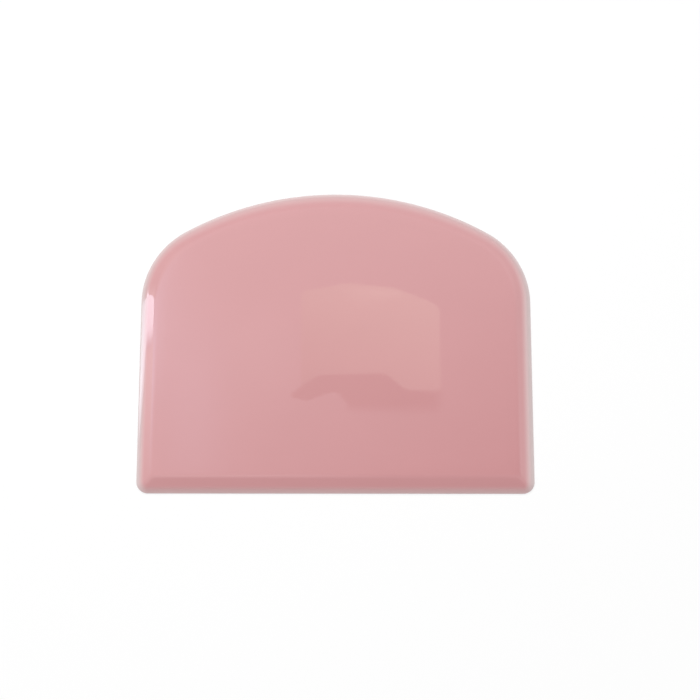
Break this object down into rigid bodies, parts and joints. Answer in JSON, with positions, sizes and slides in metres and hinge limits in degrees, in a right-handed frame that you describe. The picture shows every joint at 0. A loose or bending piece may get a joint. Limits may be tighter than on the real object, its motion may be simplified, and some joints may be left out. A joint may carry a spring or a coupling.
{
  "type": "cake scraper",
  "caption": "D-shaped flat plastic cake and dough scraper with a straight scraping edge, a shallow rounded crown and a bevelled thin edge all round.",
  "frame": {"origin": "on the flat back, under the middle of the plate's width and height", "axes": "+X across the width, +Y from the straight scraping edge towards the crown, +Z from the flat back to the bevelled face"},
  "size_m": [0.118, 0.093, 0.003],
  "materials": {
    "pink_plastic": "polished"
  },
  "bodies": {
    "root": {"scraper_plate": "pink_plastic"}
  },
  "joints": []
}
